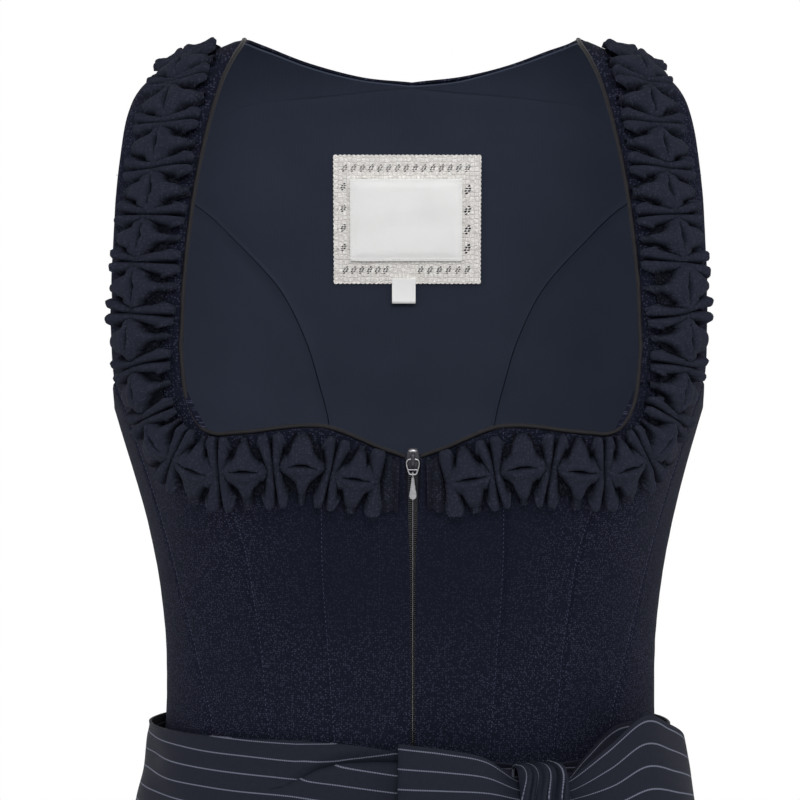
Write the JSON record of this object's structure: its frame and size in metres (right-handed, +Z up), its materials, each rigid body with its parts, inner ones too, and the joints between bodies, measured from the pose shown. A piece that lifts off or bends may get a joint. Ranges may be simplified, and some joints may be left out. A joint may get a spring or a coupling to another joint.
{
  "type": "dirndl dress with apron, in its worn shape",
  "caption": "Sleeveless dirndl with zipped front, ruched trim round a heart-shaped neckline, full skirt and striped apron tied in a bow.",
  "frame": {"origin": "mid-point between the tops of the two shoulder straps, where the shoulders hold the dress up", "axes": "+Z up along the body, -Y towards the front, +X towards the wearer's left"},
  "size_m": [0.5629, 0.5005, 1.0046],
  "materials": {
    "bodice_cloth": "matt navy weave",
    "lining_cloth": "smooth slate lining",
    "piping_satin": "brown grey satin",
    "trim_cloth": "matt navy weave",
    "label_lace": "off-white guipure lace",
    "label_cloth": "off-white satin",
    "zip_tape": "woven tape",
    "zip_dark_metal": "darkened plated metal",
    "zip_bright_metal": "bright plated metal",
    "skirt_cloth": "matt navy weave",
    "striped_cloth": "slate cloth with thin pale stripes"
  },
  "bodies": {
    "garment": {"bodice_centre_front_left": "bodice_cloth", "bodice_centre_front_right": "bodice_cloth", "bodice_side_front_left": "bodice_cloth", "bodice_side_front_right": "bodice_cloth", "bodice_outer_front_left": "bodice_cloth", "bodice_outer_front_right": "bodice_cloth", "bodice_side_left": "bodice_cloth", "bodice_side_right": "bodice_cloth", "bodice_side_back_left": "bodice_cloth", "bodice_side_back_right": "bodice_cloth", "bodice_centre_back": "bodice_cloth", "lining_centre_back": "lining_cloth", "lining_side_back_left": "lining_cloth", "lining_side_back_right": "lining_cloth", "neck_piping_left": "piping_satin", "neck_piping_right": "piping_satin", "ruched_trim_left": "trim_cloth", "ruched_trim_right": "trim_cloth", "label_lace": "label_lace", "label_panel": "label_cloth", "size_tag": "label_cloth", "zip_tape_left": "zip_tape", "zip_tape_right": "zip_tape", "zip_chain": "zip_dark_metal", "zip_slider": "zip_dark_metal", "skirt_front_left": "skirt_cloth", "skirt_back_left": "skirt_cloth", "skirt_back_right": "skirt_cloth", "skirt_front_right": "skirt_cloth", "apron_panel": "striped_cloth", "apron_band": "striped_cloth", "sash": "striped_cloth", "bow_loop_inner": "striped_cloth", "bow_loop_outer": "striped_cloth", "bow_knot": "striped_cloth", "bow_tail_inner": "striped_cloth", "bow_tail_outer": "striped_cloth"},
    "pull_ring": {"zip_link": "zip_bright_metal"},
    "pull_tab": {"zip_pull": "zip_bright_metal"}
  },
  "joints": [
    {"name": "pull_ring_hinge", "type": "hinge", "parent": "garment", "child": "pull_ring", "pos_m": [0, -0.11194, -0.19971], "axis": [-1, 0, 0], "range_deg": [0, 140]},
    {"name": "pull_tab_hinge", "type": "hinge", "parent": "pull_ring", "child": "pull_tab", "pos_m": [0, -0.11194, -0.20691], "axis": [-1, 0, 0], "range_deg": [0, 60]}
  ]
}
